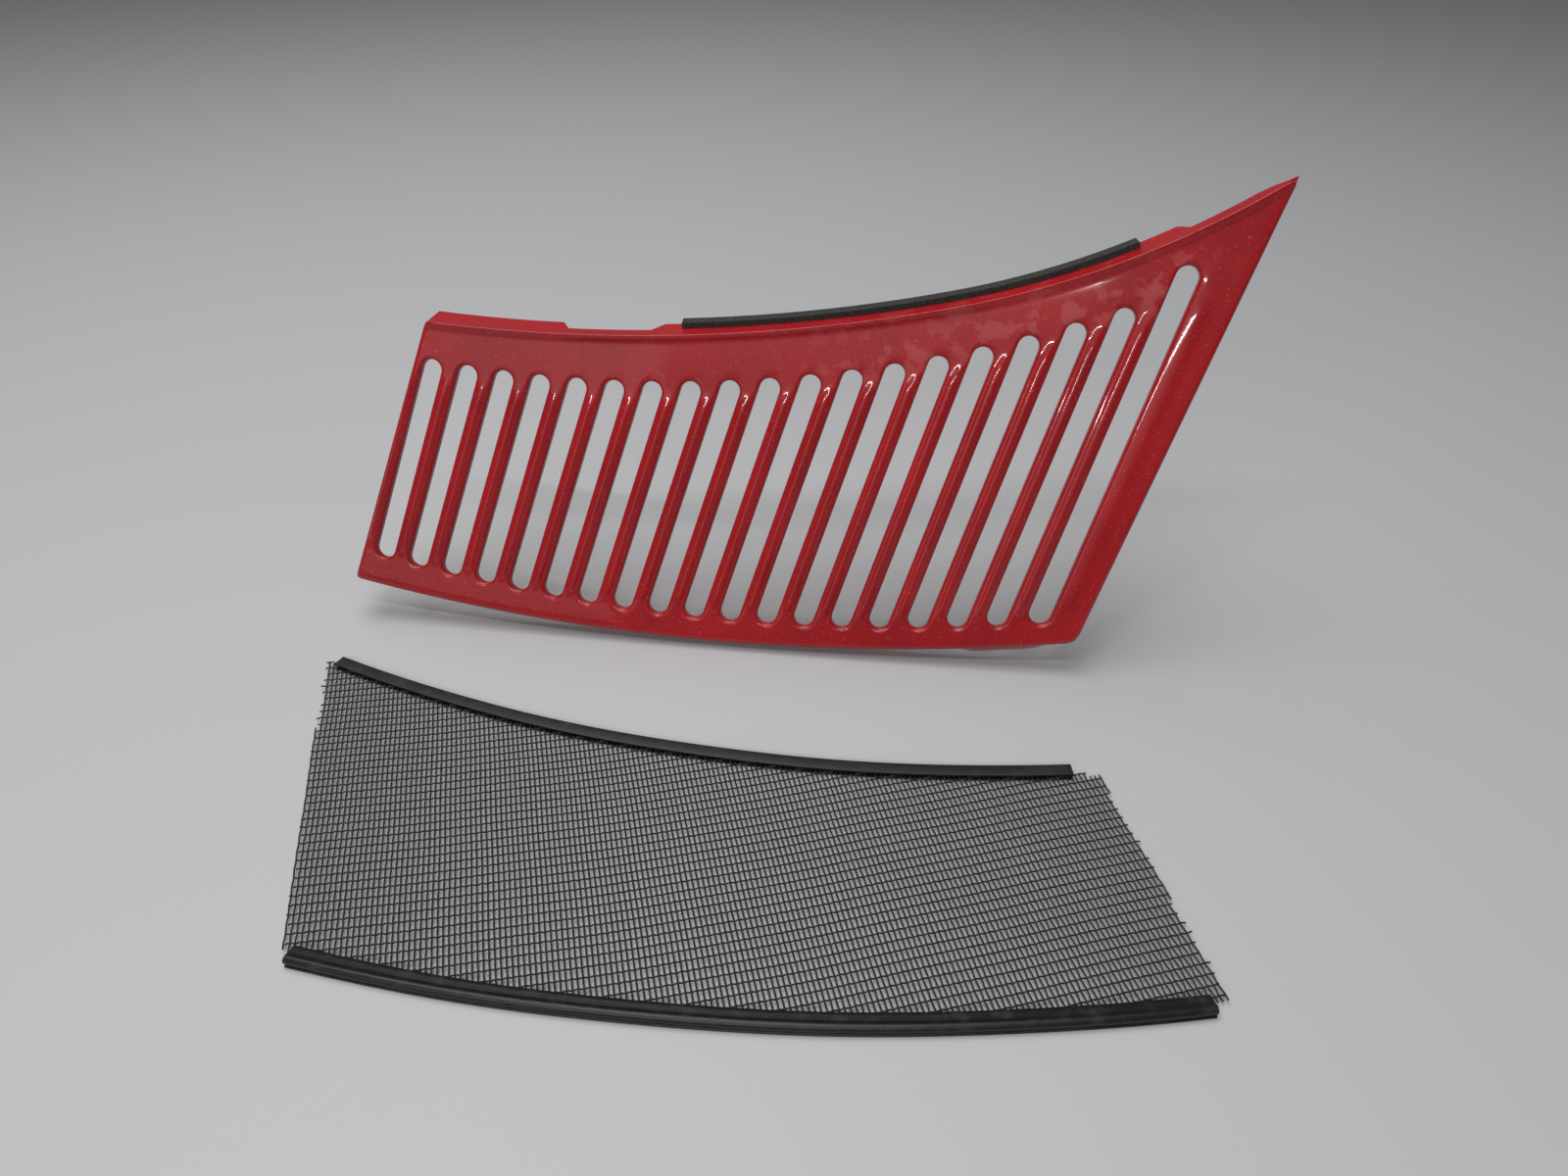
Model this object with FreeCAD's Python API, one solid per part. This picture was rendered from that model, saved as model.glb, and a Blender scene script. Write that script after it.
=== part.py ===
"""Slotted air-intake grille panel with its loose insect screen.

The panel is one steel pressing that stands on its lower rim and leans back, as it does against a
wall. The screen lies in front of it on the floor, turned face down, as it is when taken out.
Panel shapes are drawn flat in sheet axes (u across the slots, v along them, w out of the face)
and then placed. Screen shapes are drawn straight in the row's own axes. All sizes in millimetres.
"""
import FreeCAD
import Part
import math
import os

Vector = FreeCAD.Vector

# ---------------------------------------------------------------- stance of the panel
LEAN_DEG = 67.4            # angle between the face and the floor
SLANT_DEG = 16.64          # how far the slots lean away from straight up, within the face
PANEL_ZERO = (-109.0, 31.7, 78.5)   # where the sheet's u = v = w = 0 stands

# ---------------------------------------------------------------- panel outline, sheet axes
CREST_JOIN = (75.4, 125.1)      # where the long and the short radius of the top edge meet
CREST_JOIN_ANGLE = -60.54       # direction from both arc centres to that point
CREST_RADIUS_LEFT = 920.2
CREST_RADIUS_RIGHT = 444.0
CREST_OFFSET = 3.0              # the crest stands this far above the valley line of the arcs
FOOT_CENTRE = (-292.0, 984.8)   # centre of the convex lower edge
FOOT_RADIUS = 1107.1
LEFT_FOOT_U = -182.7
LEFT_CREST_U = -180.1
RIGHT_FOOT_U = 194.4
RIGHT_CREST_U = 200.1
TIP_RADIUS = 4.0
CORNER_RADIUS = 2.5

# ---------------------------------------------------------------- panel section
SHEET = 1.2                # sheet steel thickness
EDGE_ROUND = 2.0           # outer radius where the face turns back
RIM_DEPTH = 8.0            # depth of the return along both ends
FOOT_RIM_DEPTH = 12.0      # depth of the return along the lower edge
FOOT_RIM_U = (-178.0, 188.0)
CREST_RETURN = 1.6         # how far the crest turns back before the flange takes over
CREST_RETURN_U = (-177.2, 193.9)
LIP_WIDTH = 3.8            # raised lip that runs below the crest
LIP_HEIGHT = 1.8
LIP_ROUND = 0.8
LIP_STEP = 0.7             # from the crest's outer line to the lip
LIP_END_GAP = 3.0          # the lip stops short of both ends of the crest

# ---------------------------------------------------------------- seal flange behind the crest
FLANGE_LEAN_DEG = 23.5     # how far it leans up from square to the face
FLANGE_START_W = 0.9       # height at which its outer side leaves the crest
FLANGE_U = (-178.1, 194.5)
FLANGE_LENGTH = 13.3
FLANGE_NOTCH_LENGTH = 6.3
FLANGE_TIP_LENGTH = 6.5
NOTCH_U = (-113.0, -62.3)  # here the flange is cut back
TIP_NOTCH_U = 158.8        # from here to the tip it is cut back too

# ---------------------------------------------------------------- slots
SLOT_COUNT = 19
SLOT_FIRST_U = -170.2
SLOT_PITCH = 18.92
SLOT_WIDTH = 10.45
LAST_SLOT_EXTRA_U = 0.9    # the last slot stands a little further off
LAST_SLOT_WIDTH = 11.4
LAST_SLOT_EXTRA_TOP = 12.0
SLOT_TOP_CENTRE = (-292.6, 728.7)
SLOT_TOP_RADIUS = 726.1
SLOT_FOOT_CENTRE = (-257.2, 900.4)
SLOT_FOOT_RADIUS = 1003.5
COLLAR_DEPTH = 4.5         # rolled rim behind each slot
SLOT_ROUND = 1.9

# ---------------------------------------------------------------- seal strip on the flange
SEAL_U = (-51.3, 147.8)
SEAL_WIDTH = 6.0
SEAL_THICKNESS = 3.0

# ---------------------------------------------------------------- welded studs behind the face
STUD_RADIUS = 2.5
STUD_LENGTH = 16.0
STUD_BASE_RADIUS = 4.0
STUD_BASE_THICKNESS = 1.2
STUD_PLACES = ((-161.0, 23.0), (147.0, 168.0), (-152.0, -106.0), (185.0, 8.0))

# ---------------------------------------------------------------- screen, row axes, on the floor
FAR_EDGE = ((-319.4, -29.5), (-121.0, -73.5), (78.6, -63.4))
NEAR_EDGE = ((-253.4, -213.3), (-70.0, -219.1), (120.0, -188.7))
WIRE_DIAMETER = 0.8
WIRE_GAP = 0.03            # air between the two layers of wires
CROSS_WIRE_PITCH = 2.24
LONG_WIRE_PITCH = 4.8
CROSS_WIRE_ANGLE = -69.9   # direction of the wires that run front to back
LONG_WIRE_ANGLE = 20.5     # direction of the wires that run end to end, on their straight part
LONG_WIRE_BEND_X = -45.0   # left of this the mesh is pulled round and those wires curve
LONG_WIRE_BEND_RADIUS = 2000.0
WIRE_REACH = 260.0         # half the length over which wires are laid before they are cut
SHORTEST_WIRE = 5.0
MESH_MID_Z = 1.9
MESH_TUCK = 4.4            # how far the wires stop inside the trims' outer edges

FAR_TRIM_ENDS = (-309.0, 67.5)
FAR_TRIM_WIDTH = 7.0
FAR_TRIM_HEIGHT = 3.8
NEAR_TRIM_ENDS = (-252.0, 112.5)
NEAR_TRIM_WIDTH = 8.3
NEAR_TRIM_HEIGHT = 4.2
BEAD_RADIUS = 1.9
BEAD_MID_Z = 3.1
TRIM_MOUTH = 1.8           # height of the groove that grips the mesh
TRIM_MOUTH_DEPTH = 4.3

OUT = "parts"
NEAR = 0.1                 # two points closer than this are the same
CLEAR = 1.0                # how far a cutting shape reaches past what it cuts


# ================================================================ small tools
def flat(u, v, w=0.0):
    return Vector(u, v, w)


def circle_v(centre, radius, u):
    """Lower point of a circle at u."""
    return centre[1] - math.sqrt(radius ** 2 - (u - centre[0]) ** 2)


def arc_between(centre, radius, u0, u1):
    """Lower arc of a circle from u0 to u1."""
    middle = 0.5 * (u0 + u1)
    points = [flat(u, circle_v(centre, radius, u)) for u in (u0, middle, u1)]
    return Part.Arc(*points).toShape()


def line(a, b):
    return Part.LineSegment(a, b).toShape()


def prism(face, w0, w1):
    """The face, drawn at w = 0, made solid from w0 to w1."""
    moved = face.copy()
    moved.translate(Vector(0, 0, w0))
    return moved.extrude(Vector(0, 0, w1 - w0))


def cylinder(radius, start, end):
    return Part.makeCylinder(radius, (end - start).Length, start, end - start)


def save(shape, name):
    shape.exportStep(os.path.join(OUT, name + ".step"))
    print(f"{name}: {len(shape.Solids)} solids, {shape.Volume / 1000:.2f} cm3, valid {shape.isValid()}")


# ================================================================ panel outline
def crest_centres():
    """Centres of the two arcs of the top edge, which meet without a kink."""
    angle = math.radians(CREST_JOIN_ANGLE)
    ray = (math.cos(angle), math.sin(angle))
    left = tuple(CREST_JOIN[i] - CREST_RADIUS_LEFT * ray[i] for i in range(2))
    right = tuple(CREST_JOIN[i] - CREST_RADIUS_RIGHT * ray[i] for i in range(2))
    return left, right


def crest_join_u(inset):
    """u of the point where the two arcs meet, once both are moved inwards by inset."""
    return CREST_JOIN[0] + inset * math.cos(math.radians(CREST_JOIN_ANGLE))


def crest_arcs(inset, u0, u1):
    """Arcs of the top edge from u0 to u1, moved inwards (away from the crest) by inset."""
    left, right = crest_centres()
    radius_left = CREST_RADIUS_LEFT + inset
    radius_right = CREST_RADIUS_RIGHT + inset
    join = crest_join_u(inset)
    if u0 >= join:
        return [arc_between(right, radius_right, u0, u1)]
    if u1 <= join:
        return [arc_between(left, radius_left, u0, u1)]
    return [arc_between(left, radius_left, u0, join), arc_between(right, radius_right, join, u1)]


def crest_v(inset, u):
    left, right = crest_centres()
    if u < crest_join_u(inset):
        return circle_v(left, CREST_RADIUS_LEFT + inset, u)
    return circle_v(right, CREST_RADIUS_RIGHT + inset, u)


def crest_band(outer, inner, u0, u1):
    """Flat band that follows the top edge between two insets."""
    top = crest_arcs(outer, u0, u1)
    low = crest_arcs(inner, u0, u1)
    ends = [line(flat(u, crest_v(outer, u)), flat(u, crest_v(inner, u))) for u in (u0, u1)]
    return Part.Face(Part.Wire(Part.__sortEdges__(top + low + ends)))


def foot_band(inset, u0, u1):
    """Flat band along the lower edge, from the edge inwards."""
    outer = arc_between(FOOT_CENTRE, FOOT_RADIUS, u0, u1)
    inner = arc_between(FOOT_CENTRE, FOOT_RADIUS - inset, u0, u1)
    ends = []
    for u in (u0, u1):
        low = flat(u, circle_v(FOOT_CENTRE, FOOT_RADIUS, u))
        high = flat(u, circle_v(FOOT_CENTRE, FOOT_RADIUS - inset, u))
        ends.append(line(low, high))
    return Part.Face(Part.Wire(Part.__sortEdges__([outer, inner] + ends)))


def panel_face():
    """Whole outline of the pressing, before its corners are rounded."""
    crest = -CREST_OFFSET
    top = crest_arcs(crest, LEFT_CREST_U, RIGHT_CREST_U)
    foot = arc_between(FOOT_CENTRE, FOOT_RADIUS, LEFT_FOOT_U, RIGHT_FOOT_U)
    left = line(flat(LEFT_FOOT_U, circle_v(FOOT_CENTRE, FOOT_RADIUS, LEFT_FOOT_U)),
                flat(LEFT_CREST_U, crest_v(crest, LEFT_CREST_U)))
    right = line(flat(RIGHT_FOOT_U, circle_v(FOOT_CENTRE, FOOT_RADIUS, RIGHT_FOOT_U)),
                 flat(RIGHT_CREST_U, crest_v(crest, RIGHT_CREST_U)))
    return Part.Face(Part.Wire(Part.__sortEdges__(top + [right, foot, left])))


# ================================================================ slots
def slot_layout():
    """(u, foot v, top v, width) of every slot."""
    slots = []
    for index in range(SLOT_COUNT):
        u = SLOT_FIRST_U + index * SLOT_PITCH
        width = SLOT_WIDTH
        extra = 0.0
        if index == SLOT_COUNT - 1:
            u += LAST_SLOT_EXTRA_U
            width = LAST_SLOT_WIDTH
            extra = LAST_SLOT_EXTRA_TOP
        foot = circle_v(SLOT_FOOT_CENTRE, SLOT_FOOT_RADIUS, u)
        top = circle_v(SLOT_TOP_CENTRE, SLOT_TOP_RADIUS, u) + extra
        slots.append((u, foot, top, width))
    return slots


def slot_face(u, foot, top, width, grow=0.0):
    """Round-ended slot whose ends reach foot and top, grown all round."""
    r = 0.5 * width + grow
    low = foot + 0.5 * width
    high = top - 0.5 * width
    left = line(flat(u - r, low), flat(u - r, high))
    right = line(flat(u + r, low), flat(u + r, high))
    cap = Part.Arc(flat(u - r, high), flat(u, high + r), flat(u + r, high)).toShape()
    toe = Part.Arc(flat(u - r, low), flat(u, low - r), flat(u + r, low)).toShape()
    return Part.Face(Part.Wire(Part.__sortEdges__([left, cap, right, toe])))


# ================================================================ panel
def vertical_edges(solid):
    """Edges of a flat prism that run along w."""
    found = []
    for edge in solid.Edges:
        a, b = edge.Vertexes[0].Point, edge.Vertexes[-1].Point
        if abs(a.x - b.x) < 1e-6 and abs(a.y - b.y) < 1e-6:
            found.append(edge)
    return found


def edges_at(solid, w):
    return [e for e in solid.Edges if all(abs(v.Z - w) < 1e-6 for v in e.Vertexes)
            and abs(e.CenterOfMass.z - w) < 1e-6]


def rounded_block():
    """Outline as a block with rounded corners and a rounded front edge."""
    block = prism(panel_face(), -FOOT_RIM_DEPTH, 0.0)
    tip = max(vertical_edges(block), key=lambda e: e.Vertexes[0].X + e.Vertexes[0].Y)
    block = block.makeFillet(TIP_RADIUS, [tip])
    corners = [(LEFT_CREST_U, crest_v(-CREST_OFFSET, LEFT_CREST_U)),
               (LEFT_FOOT_U, circle_v(FOOT_CENTRE, FOOT_RADIUS, LEFT_FOOT_U)),
               (RIGHT_FOOT_U, circle_v(FOOT_CENTRE, FOOT_RADIUS, RIGHT_FOOT_U))]
    block = block.makeFillet(CORNER_RADIUS, [e for e in vertical_edges(block) if stands_at(e, corners)])
    return block.makeFillet(EDGE_ROUND, edges_at(block, 0.0))


def stands_at(edge, places):
    """True for an edge along w that stands on one of the (u, v) places."""
    foot = edge.Vertexes[0]
    return any(math.dist((foot.X, foot.Y), place) < NEAR for place in places)


def hollow():
    """Space inside the pressing, one sheet thickness inside its outline."""
    inner = panel_face().makeOffset2D(-SHEET, 0, False, False, True)
    return prism(inner, -FOOT_RIM_DEPTH - CLEAR, -SHEET)


def cut_back_rims(panel):
    """Shorten the returns to their real depths: full along the foot, least along the crest."""
    deep = -FOOT_RIM_DEPTH - CLEAR
    foot_rim = foot_band(2.0 * SHEET, *FOOT_RIM_U).fuse(foot_band(-CLEAR, *FOOT_RIM_U))
    rest = panel_face().makeOffset2D(CLEAR, 0, False, False, True).cut(foot_rim)
    panel = panel.cut(prism(rest, deep, -RIM_DEPTH))
    crest_rim = crest_band(-CREST_OFFSET - CLEAR, -CREST_OFFSET + 1.5 * SHEET, *CREST_RETURN_U)
    return panel.cut(prism(crest_rim, deep, -CREST_RETURN))


# ================================================================ flange behind the crest
def crest_angle(centre, radius, u):
    """Direction from an arc's centre to the arc's lower point at u."""
    return math.atan2(-math.sqrt(radius ** 2 - (u - centre[0]) ** 2), u - centre[0])


def turned_strip(centre, radius, section, angles):
    """Section of (outwards, w) points at a radius, turned about an arc's centre."""
    pivot = flat(*centre)
    ray = Vector(math.cos(angles[0]), math.sin(angles[0]), 0)
    points = [pivot + ray * (radius + out) + flat(0, 0, w) for out, w in section]
    face = Part.Face(Part.makePolygon(points + points[:1]))
    return face.revolve(pivot, Vector(0, 0, 1), math.degrees(angles[1] - angles[0]))


def flange_strip(u0, u1, run, height):
    """Strip that leans with the flange, between two distances down its slope and two off it."""
    lean = math.radians(FLANGE_LEAN_DEG)
    corners = [(run[0], height[0]), (run[1], height[0]), (run[1], height[1]), (run[0], height[1])]
    section = [(-s * math.sin(lean) - t * math.cos(lean),
                FLANGE_START_W - s * math.cos(lean) + t * math.sin(lean)) for s, t in corners]
    left, right = crest_centres()
    radius_left = CREST_RADIUS_LEFT - CREST_OFFSET
    radius_right = CREST_RADIUS_RIGHT - CREST_OFFSET
    join_u = crest_join_u(-CREST_OFFSET)
    join = math.radians(CREST_JOIN_ANGLE)
    parts = []
    if u0 < join_u:
        end = join if u1 > join_u else crest_angle(left, radius_left, u1)
        start = crest_angle(left, radius_left, u0)
        parts.append(turned_strip(left, radius_left, section, (start, end)))
    if u1 > join_u:
        start = join if u0 < join_u else crest_angle(right, radius_right, u0)
        end = crest_angle(right, radius_right, u1)
        parts.append(turned_strip(right, radius_right, section, (start, end)))
    return parts


def flange():
    """Leaning flange, cut back at the notch and again towards the tip."""
    start, end = FLANGE_U
    spans = ((start, NOTCH_U[0], FLANGE_LENGTH), (*NOTCH_U, FLANGE_NOTCH_LENGTH),
             (NOTCH_U[1], TIP_NOTCH_U, FLANGE_LENGTH), (TIP_NOTCH_U, end, FLANGE_TIP_LENGTH))
    parts = []
    for u0, u1, length in spans:
        parts += flange_strip(u0, u1, (0.0, length), (-SHEET, 0.0))
    return parts


def raised_lip():
    """Lip that stands proud of the face just below the crest."""
    band = crest_band(-CREST_OFFSET + LIP_STEP, -CREST_OFFSET + LIP_WIDTH,
                      LEFT_CREST_U + LIP_END_GAP, RIGHT_CREST_U - LIP_END_GAP)
    lip = prism(band, -0.5 * SHEET, LIP_HEIGHT)
    return lip.makeFillet(LIP_ROUND, edges_at(lip, LIP_HEIGHT))


def grille_panel():
    panel = rounded_block().cut(hollow())
    panel = cut_back_rims(panel)
    panel = panel.fuse([raised_lip()] + flange())
    for u, foot, top, width in slot_layout():
        collar = prism(slot_face(u, foot, top, width, SHEET), -COLLAR_DEPTH, -0.5 * SHEET)
        panel = panel.fuse(collar)
    for u, foot, top, width in slot_layout():
        cutter = prism(slot_face(u, foot, top, width), -COLLAR_DEPTH - 1.0, 1.0)
        panel = panel.cut(cutter)
    panel = panel.removeSplitter()
    mouths = [e for e in edges_at(panel, 0.0) if is_slot_edge(e)]
    return panel.makeFillet(SLOT_ROUND, mouths)


def is_slot_edge(edge):
    """True for an edge on a slot's mouth."""
    point = edge.CenterOfMass
    for u, foot, top, width in slot_layout():
        if abs(point.x - u) < 0.5 * width + 0.01 and foot - 0.01 < point.y < top + 0.01:
            return True
    return False


def place_on_stance(shape):
    """Turn a shape from sheet axes to the leaning stance."""
    placed = shape.copy()
    placed.rotate(Vector(0, 0, 0), Vector(0, 0, 1), -SLANT_DEG)
    placed.rotate(Vector(0, 0, 0), Vector(1, 0, 0), LEAN_DEG)
    placed.translate(Vector(*PANEL_ZERO))
    return placed


def rear_seal_strip():
    """Foam strip stuck on the back half of the flange."""
    run = (FLANGE_LENGTH - SEAL_WIDTH, FLANGE_LENGTH)
    first, second = flange_strip(*SEAL_U, run, (0.0, SEAL_THICKNESS))
    return first.fuse(second).removeSplitter()


def mounting_studs():
    """Threaded studs resistance-welded to the back of the face."""
    studs = []
    for u, v in STUD_PLACES:
        root = flat(u, v, -SHEET)
        base = cylinder(STUD_BASE_RADIUS, root, flat(u, v, -SHEET - STUD_BASE_THICKNESS))
        shank = cylinder(STUD_RADIUS, root, flat(u, v, -SHEET - STUD_LENGTH))
        studs.append(base.fuse(shank).removeSplitter())
    return Part.makeCompound(studs)


# ================================================================ screen
def circle_through(points):
    """Centre and radius of the circle through three (x, y) points."""
    circle = Part.Arc(*[flat(x, y) for x, y in points]).toShape().Curve
    return (circle.Center.x, circle.Center.y), circle.Radius


def edge_band(points, inner, outer, ends):
    """Band that follows an edge of the screen, between two offsets inwards from it."""
    centre, radius = circle_through(points)
    is_far = points is FAR_EDGE
    radii = [radius + s if is_far else radius - s for s in (inner, outer)]
    arcs = [arc_between(centre, r, *ends) for r in radii]
    sides = []
    for x in ends:
        a, b = [flat(x, circle_v(centre, r, x)) for r in radii]
        sides.append(line(a, b))
    return Part.Face(Part.Wire(Part.__sortEdges__(arcs + sides)))


def trim(points, ends, width, height):
    """Edging with a groove that grips the mesh."""
    body = prism(edge_band(points, 0.0, width, ends), 0.0, height)
    wide = (ends[0] - 5.0, ends[1] + 5.0)
    groove = edge_band(points, width - TRIM_MOUTH_DEPTH, width + 1.0, wide)
    return body.cut(prism(groove, MESH_MID_Z - 0.5 * TRIM_MOUTH, MESH_MID_Z + 0.5 * TRIM_MOUTH))


def screen_rear_trim():
    return trim(FAR_EDGE, FAR_TRIM_ENDS, FAR_TRIM_WIDTH, FAR_TRIM_HEIGHT)


def screen_front_trim():
    """Edging with a round bead along its outer side."""
    body = trim(NEAR_EDGE, NEAR_TRIM_ENDS, NEAR_TRIM_WIDTH, NEAR_TRIM_HEIGHT)
    centre, radius = circle_through(NEAR_EDGE)
    path = arc_between(centre, radius - BEAD_RADIUS, *NEAR_TRIM_ENDS)
    path.translate(Vector(0, 0, BEAD_MID_Z))
    start = path.valueAt(path.FirstParameter)
    section = Part.Wire(Part.Circle(start, path.tangentAt(path.FirstParameter), BEAD_RADIUS).toShape())
    bead = Part.Wire(path).makePipeShell([section], True, True)
    return body.fuse(bead).removeSplitter()


def mesh_face():
    """Outline of the woven mesh; its long edges stop inside the trims."""
    far_centre, far_radius = circle_through(FAR_EDGE)
    near_centre, near_radius = circle_through(NEAR_EDGE)
    far = arc_between(far_centre, far_radius + MESH_TUCK, FAR_EDGE[0][0], FAR_EDGE[2][0])
    near = arc_between(near_centre, near_radius - MESH_TUCK, NEAR_EDGE[0][0], NEAR_EDGE[2][0])
    left = line(far.Vertexes[0].Point, near.Vertexes[0].Point)
    right = line(far.Vertexes[-1].Point, near.Vertexes[-1].Point)
    return Part.Face(Part.Wire(Part.__sortEdges__([far, right, near, left])))


def direction(angle_deg):
    angle = math.radians(angle_deg)
    return Vector(math.cos(angle), math.sin(angle), 0)


def rod_along(path):
    """Round wire along a chain of edges that is open and has no kinks."""
    path = Part.Wire(Part.__sortEdges__(path))
    first = path.OrderedEdges[0]
    start = path.OrderedVertexes[0].Point
    tangent = first.tangentAt(first.FirstParameter)
    section = Part.Wire(Part.Circle(start, tangent, 0.5 * WIRE_DIAMETER).toShape())
    return path.makePipeShell([section], True, True)


def screen_cross_wires():
    """Straight wires from the far edge to the near edge, on the lower level."""
    outline = mesh_face()
    centre = outline.CenterOfMass
    along = direction(CROSS_WIRE_ANGLE)
    across = Vector(-along.y, along.x, 0)
    lift = Vector(0, 0, MESH_MID_Z - 0.5 * (WIRE_DIAMETER + WIRE_GAP))
    count = int(WIRE_REACH / CROSS_WIRE_PITCH)
    rods = []
    for index in range(-count, count + 1):
        middle = centre + across * (index * CROSS_WIRE_PITCH)
        chord = line(middle - along * WIRE_REACH, middle + along * WIRE_REACH).common(outline)
        for edge in chord.Edges:
            if edge.Length > SHORTEST_WIRE:
                ends = [v.Point + lift for v in edge.Vertexes]
                rods.append(cylinder(0.5 * WIRE_DIAMETER, ends[0], ends[-1]))
    return Part.makeCompound(rods)


def long_wire_path(shift):
    """One wire from end to end: an arc on the left that runs on into a straight line."""
    along = direction(LONG_WIRE_ANGLE)
    across = Vector(-along.y, along.x, 0)
    join = Vector(LONG_WIRE_BEND_X, mesh_face().CenterOfMass.y, 0) + shift
    centre = join + across * LONG_WIRE_BEND_RADIUS
    sweep = WIRE_REACH / LONG_WIRE_BEND_RADIUS
    points = [join]
    for part in (0.5, 1.0):
        turned = direction(LONG_WIRE_ANGLE - 90.0 - math.degrees(sweep * part))
        points.append(centre + turned * LONG_WIRE_BEND_RADIUS)
    return Part.Arc(*points).toShape(), line(join, join + along * WIRE_REACH)


def screen_long_wires():
    """Wires from end to end, on the upper level, each the one before moved along the cross wires."""
    outline = mesh_face()
    step = direction(CROSS_WIRE_ANGLE) * LONG_WIRE_PITCH
    lift = Vector(0, 0, MESH_MID_Z + 0.5 * (WIRE_DIAMETER + WIRE_GAP))
    count = int(WIRE_REACH / LONG_WIRE_PITCH)
    rods = []
    for index in range(-count, count + 1):
        path = []
        for piece in long_wire_path(step * index):
            path += piece.common(outline).Edges
        if sum(edge.Length for edge in path) > SHORTEST_WIRE:
            rod = rod_along(path)
            rod.translate(lift)
            rods.append(rod)
    return Part.makeCompound(rods)


# ================================================================ build
def main():
    os.makedirs(OUT, exist_ok=True)
    for build in (grille_panel, rear_seal_strip, mounting_studs):
        save(place_on_stance(build()), build.__name__)
    for build in (screen_rear_trim, screen_front_trim, screen_cross_wires, screen_long_wires):
        save(build(), build.__name__)


main()
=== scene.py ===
"""Looks for a red slotted grille panel that leans back, and its black wire screen on the floor.

Panel shapes are worked out in sheet axes (u across the slots, v along them, w out of the face), in
millimetres, and then placed in the row frame in metres. The screen is drawn in the row's own axes.
"""
import math

import bmesh
import bpy
import numpy as np
from mathutils import Matrix, Vector


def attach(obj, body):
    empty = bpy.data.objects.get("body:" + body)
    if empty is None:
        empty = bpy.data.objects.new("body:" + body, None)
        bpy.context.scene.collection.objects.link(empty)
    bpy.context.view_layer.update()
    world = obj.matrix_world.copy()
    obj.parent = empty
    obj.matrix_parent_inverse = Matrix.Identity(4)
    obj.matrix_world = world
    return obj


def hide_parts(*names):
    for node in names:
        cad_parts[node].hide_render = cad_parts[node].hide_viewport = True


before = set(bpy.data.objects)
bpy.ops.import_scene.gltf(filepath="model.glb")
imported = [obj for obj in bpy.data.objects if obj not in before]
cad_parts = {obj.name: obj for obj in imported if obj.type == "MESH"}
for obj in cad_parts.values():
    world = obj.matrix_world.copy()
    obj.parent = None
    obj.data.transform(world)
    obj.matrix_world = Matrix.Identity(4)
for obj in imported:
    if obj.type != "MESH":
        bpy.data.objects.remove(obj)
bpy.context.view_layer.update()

MM = 0.001

# ---------------------------------------------------------------- camera
CAMERA_PLACE = (-25.8, -443.4, 382.5)
CAMERA_TURN_DEG = 6.68       # turned left of straight ahead
CAMERA_DOWN_DEG = 37.02
CAMERA_ROLL_DEG = 0.29
CAMERA_LENS = 25.05          # on a sensor 36 mm wide
SENSOR = 36.0

# ---------------------------------------------------------------- panel stance and outline
LEAN_DEG = 67.4
SLANT_DEG = 16.64
PANEL_ZERO = (-109.0, 31.7, 78.5)
CREST_JOIN = (75.4, 125.1)
CREST_JOIN_ANGLE = -60.54
CREST_RADIUS_LEFT = 920.2
CREST_RADIUS_RIGHT = 444.0
CREST_INSET = -3.0           # outer line of the crest, against the arcs above
FOOT_CENTRE = (-292.0, 984.8)
FOOT_RADIUS = 1107.1
LEFT_LINE = ((-182.7, -116.8), (-180.1, 32.0))     # both ends of the left side, low end first
RIGHT_LINE = ((194.4, -10.7), (200.1, 238.0))

# ---------------------------------------------------------------- panel section
SHEET = 1.2
FLANGE_LEAN_DEG = 23.5
FLANGE_START_W = 0.9
FLANGE_LENGTH = 13.3
FLANGE_NOTCH_LENGTH = 6.3
FLANGE_TIP_LENGTH = 6.5
FLANGE_TIP_TAPER_U = (187.0, 200.0)
FLANGE_TIP_SHARE = 0.2       # what is left of it at the very tip
NOTCH_U = (-113.0, -62.3)
NOTCH_SLOPE = 5.0            # length over which the flange steps down
TIP_NOTCH_U = 158.8
FOOT_RIM_DEPTH = 12.0
END_RIM_DEPTH = 8.0
TONGUE_U = (128.0, 188.0)    # stretch of the lower return that is bent out and shows below the edge
TONGUE_DROP = 3.0
TONGUE_RAMPS = (3.0, 6.0)    # how steeply it comes out on the left and goes back on the right
TONGUE_DEPTHS = (3.0, 5.0)   # it starts this deep behind the face, and is full after so much more
BAR_CROWN = 0.9              # bars swell out of the face by this much
BAR_CROWN_RUN = 2.2          # from a slot's rounded mouth to the full swell
CROWN_FADE = ((16.0, 5.0), (3.0, 12.0))   # below the slots' tops, above their feet
CROWN_END = (2.4, 9.0)       # beside the first and last slot the swell dies out over this stretch

# ---------------------------------------------------------------- slots
SLOT_COUNT = 19
SLOT_FIRST_U = -170.2
SLOT_PITCH = 18.92
SLOT_WIDTH = 10.45
LAST_SLOT_EXTRA_U = 0.9
LAST_SLOT_WIDTH = 11.4
LAST_SLOT_EXTRA_TOP = 12.0
SLOT_TOP_CENTRE = (-292.6, 728.7)
SLOT_TOP_RADIUS = 726.1
SLOT_FOOT_CENTRE = (-257.2, 900.4)
SLOT_FOOT_RADIUS = 1003.5
COLLAR_DEPTH = 4.5
SLOT_ROUND = 1.9

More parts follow.
